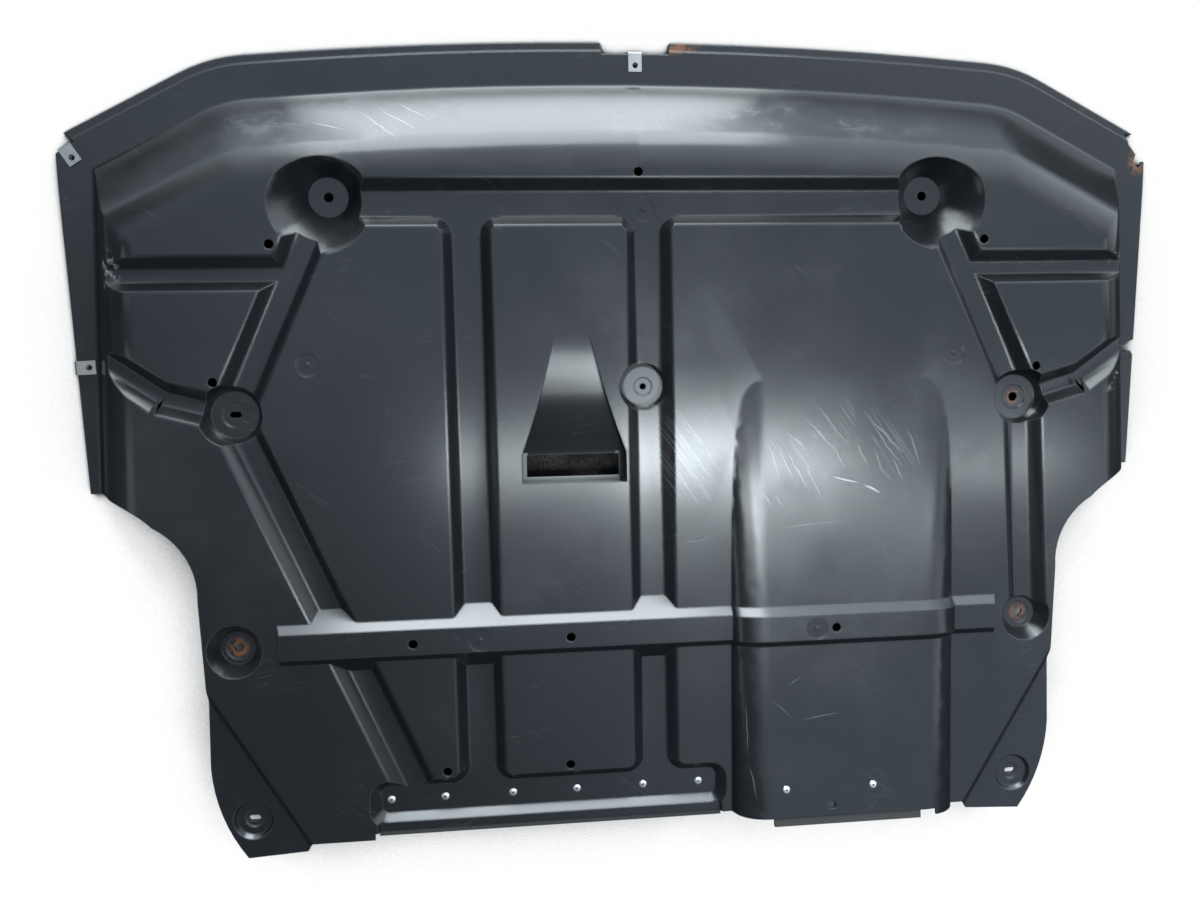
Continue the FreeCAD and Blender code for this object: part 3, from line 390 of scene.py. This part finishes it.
def fine_lines(nodes, turn, shift, stretch, spacing, width, cover):
    """Long thin lines in one direction, broken up into short stretches."""
    lines = nodes.place((shift, shift, 0.0), math.radians(turn), (stretch, spacing, 0.0))
    moved = nodes.add("ShaderNodeVectorMath", operation="ADD")
    nodes.link(lines, moved.inputs[0])
    moved.inputs[1].default_value = LATTICE_SHIFT
    level = nodes.noise(moved.outputs[0], 1.0, 1.0)
    offset = nodes.math("ABSOLUTE", nodes.math("SUBTRACT", level, 0.5))
    thin = nodes.span(offset, LINE_CORE * width, width, 1.0, 0.0)
    gaps = nodes.noise(nodes.place((shift, 0.0, 0.0)), *BREAK_NOISE)
    breaks = nodes.span(gaps, cover, cover + BREAK_SOFT)
    return nodes.math("MULTIPLY", thin, breaks)


def plastic_material():
    """Satin black moulded plastic with haze, scuffs, scratches and stress marks, painted highlights
    on proud edges, the dent edge and the inlet lip, and painted sheen on front flanks.
    """
    material, nodes, shader = new_material("black_plastic")
    plain = nodes.place()
    cloud = nodes.noise(plain, *CLOUD_NOISE)
    haze = nodes.span(cloud, *CLOUD_RANGE)
    grain = nodes.noise(plain, *GRAIN_NOISE)
    swing = nodes.math("SUBTRACT", nodes.noise(plain, *WANDER_NOISE), 0.5)
    wander = nodes.math("MULTIPLY", swing, WANDER_WIDTH)
    shift = nodes.add("ShaderNodeVectorMath", operation="ADD")
    nodes.link(plain, shift.inputs[0])
    nodes.link(wander, shift.inputs[1])
    wavy = shift.outputs[0]
    mottle = nodes.noise(nodes.place(scale=BLOTCH_STRETCH), *BLOTCH_NOISE)
    blotch = nodes.span(mottle, *BLOTCH_RANGE)
    apron = joined(nodes, [patch(nodes, *spot) for spot in APRON_SCUFFS])
    apron = nodes.math("MULTIPLY", apron, blotch)
    streaks = fine_lines(nodes, *STREAK_LINES)
    streaked = joined(nodes, [patch(nodes, *spot) for spot in STREAK_PATCHES])
    streaks = nodes.math("MULTIPLY", streaks, streaked)
    strokes = joined(nodes, [stroke(nodes, *mark, wavy) for mark in SCRATCHES])
    fine = joined(nodes, [fine_lines(nodes, *lines) for lines in FINE_LINES])
    # Painted highlight along the dent edge
    bright = joined(nodes, [stroke(nodes, *mark, wavy) for mark in DENT_EDGE_HIGHLIGHTS])
    discs = joined(nodes, [disc(nodes, *spot) for spot in LIGHTER_DISCS])
    cracks = joined(nodes, [stroke(nodes, *mark, wavy) for mark in CRACKS])
    stress = joined(nodes, [patch(nodes, *spot) for spot in STRESS_PATCHES])
    crazed = nodes.span(nodes.noise(plain, *STRESS_NOISE), *STRESS_RANGE)
    stress = nodes.math("MULTIPLY", stress, crazed)
    rust = joined(nodes, [patch(nodes, *spot) for spot in RUST_PATCHES])
    flaked = nodes.span(nodes.noise(plain, *RUST_NOISE), *RUST_RANGE)
    rust = nodes.math("MULTIPLY", rust, flaked)
    normal, edges, steep = rounded_normal(nodes, grain, GRAIN_STRENGTH, GRAIN_HEIGHT)
    # Lighter edges: edge wear plus a painted highlight on proud convex edges
    wear_and_sheen = ((apron, APRON_BLEND), (edges, EDGE_WEAR_AND_SHEEN_BLEND), (discs, DISC_BLEND))
    scuff_and_sheen = joined(nodes, [nodes.math("MULTIPLY", mask, share) for mask, share in wear_and_sheen])
    # Scratches, streaks and stress whitening, with painted highlights on the dent edge and the inlet
    # lip
    lines = ((streaks, STREAK_BLEND), (strokes, STROKE_BLEND), (fine, FINE_BLEND),
             (bright, DENT_HIGHLIGHT_BLEND), (mouth_lip_highlight(nodes), LIP_HIGHLIGHT_BLEND))
    marks = joined(nodes, [nodes.math("MULTIPLY", mask, share) for mask, share in lines])
    colour = nodes.blend(nodes.math("MULTIPLY", haze, HAZE_BLEND), PLASTIC_COLOUR, PLASTIC_HAZE)
    colour = nodes.blend(scuff_and_sheen, colour, PLASTIC_SCUFF_AND_SHEEN)
    colour = nodes.blend(marks, colour, WHITENING_AND_HIGHLIGHT)
    colour = nodes.blend(nodes.math("MULTIPLY", stress, STRESS_BLEND), colour, WHITENING_AND_HIGHLIGHT)
    colour = nodes.blend(rust, colour, RUST_COLOUR)
    colour = nodes.blend(cracks, colour, PLASTIC_CRACK)
    nodes.feed(shader.inputs["Base Color"], colour)
    rough = nodes.math("MULTIPLY", haze, HAZE_ROUGH)
    rough = nodes.math("ADD", rough, nodes.math("MULTIPLY", scuff_and_sheen, SCUFF_ROUGH))
    nodes.feed(shader.inputs["Roughness"], nodes.math("ADD", rough, PLASTIC_ROUGH))
    # Painted sheen: steep front flanks get a higher specular level
    gloss_and_flank_sheen = nodes.math("ADD", nodes.math("MULTIPLY", steep, FLANK_SHEEN), PLASTIC_GLOSS)
    nodes.feed(shader.inputs["Specular IOR Level"], gloss_and_flank_sheen)
    nodes.feed(shader.inputs["Normal"], normal)
    shader.inputs["IOR"].default_value = PLASTIC_IOR
    return material


def metal_material(name, colour, roughness):
    """Dull metal with a fine worn grain."""
    material, nodes, shader = new_material(name)
    plain = nodes.place()
    worn = nodes.noise(plain, *METAL_NOISE)
    shader.inputs["Metallic"].default_value = 1.0
    dull = tuple(METAL_DULL * part for part in colour[:3]) + (1.0,)
    nodes.feed(shader.inputs["Base Color"], nodes.blend(worn, dull, colour))
    rough = nodes.math("ADD", nodes.math("MULTIPLY", worn, METAL_ROUGH_SPREAD), roughness)
    nodes.feed(shader.inputs["Roughness"], rough)
    return material


def seal_material():
    """Rough dark foam rubber."""
    material, nodes, shader = new_material("seal_rubber")
    plain = nodes.place()
    pores = nodes.noise(plain, *PORE_NOISE)
    nodes.feed(shader.inputs["Base Color"], nodes.blend(pores, SEAL_COLOUR, PORE_COLOUR))
    shader.inputs["Roughness"].default_value = SEAL_ROUGH
    bump = nodes.add("ShaderNodeBump")
    bump.inputs["Strength"].default_value = PORE_STRENGTH
    bump.inputs["Distance"].default_value = PORE_DEPTH
    nodes.feed(bump.inputs["Height"], pores)
    nodes.link(bump.outputs[0], shader.inputs["Normal"])
    return material


def dress_node(name, material):
    """Gives a frame node its finish and smooth shading between sharp edges."""
    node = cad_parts[name]
    node.data.materials.clear()
    node.data.materials.append(material)
    for face in node.data.polygons:
        face.use_smooth = True
    weld = node.modifiers.new("weld", "WELD")
    weld.merge_threshold = WELD_DISTANCE
    split = node.modifiers.new("split", "EDGE_SPLIT")
    split.split_angle = math.radians(SHARP_ANGLE)
    even = node.modifiers.new("even", "WEIGHTED_NORMAL")
    even.mode = "FACE_AREA"
    even.weight = NORMAL_WEIGHT


def add_camera():
    """Camera at the photograph's place and angle."""
    data = bpy.data.cameras.new("camera")
    data.lens = CAMERA_LENS
    data.sensor_width = SENSOR_WIDTH
    camera = bpy.data.objects.new("camera", data)
    bpy.context.scene.collection.objects.link(camera)
    yaw = Matrix.Rotation(math.radians(CAMERA_YAW), 3, "Y")
    pitch = Matrix.Rotation(math.radians(CAMERA_PITCH), 3, "X")
    roll = Matrix.Rotation(math.radians(CAMERA_ROLL), 3, "Z")
    turn = (roll @ pitch @ yaw).transposed()
    camera.matrix_world = Matrix.Translation(CAMERA_PLACE) @ turn.to_4x4()
    bpy.context.scene.camera = camera


def box_mask(nodes, centre, half, soft=MASK_SOFT):
    """Mask that is one inside a box in plan and fades within its sides."""
    split = nodes.add("ShaderNodeSeparateXYZ")
    nodes.link(nodes.place((centre[0], centre[1], 0.0)), split.inputs[0])
    sides = [nodes.span(nodes.math("ABSOLUTE", split.outputs[axis]), size - soft, size, 1.0, 0.0)
             for axis, size in zip("XY", half)]
    return nodes.math("MULTIPLY", sides[0], sides[1])


def add_floor():
    """Plain pale floor, white to the camera where nothing stands over it, in shadow elsewhere, with
    painted shade where reflections see it: dark except for a band ahead.
    """
    half = FLOOR_SIZE / 2
    corners = [(-half, -half, 0), (half, -half, 0), (half, half, 0), (-half, half, 0)]
    mesh = bpy.data.meshes.new("floor")
    mesh.from_pydata(corners, [], [(0, 1, 2, 3)])
    floor = bpy.data.objects.new("floor", mesh)
    bpy.context.scene.collection.objects.link(floor)
    material, nodes, shader = new_material("floor")
    path = nodes.add("ShaderNodeLightPath")
    sky = nodes.add("ShaderNodeAmbientOcclusion", samples=FLOOR_SAMPLES)
    sky.inputs["Distance"].default_value = SHADOW_REACH
    clear = nodes.span(sky.outputs["AO"], SHADOW_DARK, SHADOW_CLEAR)
    split = nodes.add("ShaderNodeSeparateXYZ")
    nodes.link(nodes.place(), split.inputs[0])
    front = nodes.span(split.outputs["Y"], FLOOR_FRONT_FROM, FLOOR_FRONT_FULL)
    # Painted shade: glossy rays see the floor dark, except in the band ahead
    mirrored = nodes.blend(front, FLOOR_REFLECTED_SHADE, FLOOR_FRONT)
    colour = nodes.blend(path.outputs["Is Glossy Ray"], FLOOR_COLOUR, mirrored)
    nodes.feed(shader.inputs["Base Color"], nodes.blend(clear, SHADOW_COLOUR, colour))
    shader.inputs["Roughness"].default_value = FLOOR_ROUGH
    shader.inputs["Specular IOR Level"].default_value = 0.0
    glow = nodes.add("ShaderNodeEmission")
    glow.inputs["Color"].default_value = (1.0, 1.0, 1.0, 1.0)
    mix = nodes.add("ShaderNodeMixShader")
    lit = nodes.math("MULTIPLY", path.outputs["Is Camera Ray"], clear)
    nodes.link(lit, mix.inputs[0])
    nodes.link(shader.outputs[0], mix.inputs[1])
    nodes.link(glow.outputs[0], mix.inputs[2])
    output = [node for node in material.node_tree.nodes if node.type == "OUTPUT_MATERIAL"][0]
    nodes.link(mix.outputs[0], output.inputs[0])
    mesh.materials.append(material)


def add_area_light(name, place, target, size, power):
    """Soft rectangular lamp aimed at a point."""
    data = bpy.data.lights.new(name, "AREA")
    data.shape = "RECTANGLE"
    data.size = size[0]
    data.size_y = size[1]
    data.energy = power
    data.color = LAMP_COLOUR
    lamp = bpy.data.objects.new(name, data)
    bpy.context.scene.collection.objects.link(lamp)
    lamp.location = place
    aim = Vector(target) - Vector(place)
    lamp.rotation_euler = aim.to_track_quat("-Z", "Y").to_euler()


def add_world():
    """Sky that is soft overhead, bright ahead, dim elsewhere and behind the left rear corner."""
    world = bpy.data.worlds.new("studio")
    world.use_nodes = True
    bpy.context.scene.world = world
    nodes = Nodes(world.node_tree)
    output = nodes.add("ShaderNodeOutputWorld")
    back = nodes.add("ShaderNodeBackground")
    coords = nodes.add("ShaderNodeTexCoord")
    split = nodes.add("ShaderNodeSeparateXYZ")
    nodes.link(coords.outputs["Generated"], split.inputs[0])
    rise = nodes.span(split.outputs["Z"], SKY_LOW_UNTIL, SKY_HIGH_FROM)
    match = nodes.add("ShaderNodeVectorMath", operation="DOT_PRODUCT")
    nodes.link(coords.outputs["Generated"], match.inputs[0])
    match.inputs[1].default_value = SKY_CORNER_AXIS
    corner = nodes.span(match.outputs["Value"], SKY_CORNER_FROM, SKY_CORNER_FULL)
    high = nodes.blend(corner, SKY_HIGH, SKY_CORNER)
    low_or_high = nodes.blend(rise, SKY_LOW, high)
    front = nodes.add("ShaderNodeVectorMath", operation="DOT_PRODUCT")
    nodes.link(coords.outputs["Generated"], front.inputs[0])
    front.inputs[1].default_value = SKY_FRONT_AXIS
    ahead = nodes.span(front.outputs["Value"], SKY_FRONT_FROM, SKY_FRONT_FULL)
    sky = nodes.blend(ahead, low_or_high, SKY_FRONT)
    path = nodes.add("ShaderNodeLightPath")
    nodes.feed(back.inputs["Color"], nodes.blend(path.outputs["Is Camera Ray"], sky, BACKDROP_WHITE))
    nodes.link(back.outputs[0], output.inputs[0])


dress_node("shield_panel", plastic_material())
dress_node("clip_nuts", metal_material("zinc_steel", ZINC_COLOUR, ZINC_ROUGH))
dress_node("blind_rivets", metal_material("rivet_aluminium", ALUMINIUM_COLOUR, ALUMINIUM_ROUGH))
dress_node("rivet_mandrels", metal_material("mandrel_steel", MANDREL_COLOUR, MANDREL_ROUGH))
dress_node("rear_seal_strips", seal_material())
add_camera()
add_floor()
add_world()
for lamp in LAMPS:
    add_area_light(*lamp)

bpy.context.scene.view_settings.view_transform = "Standard"
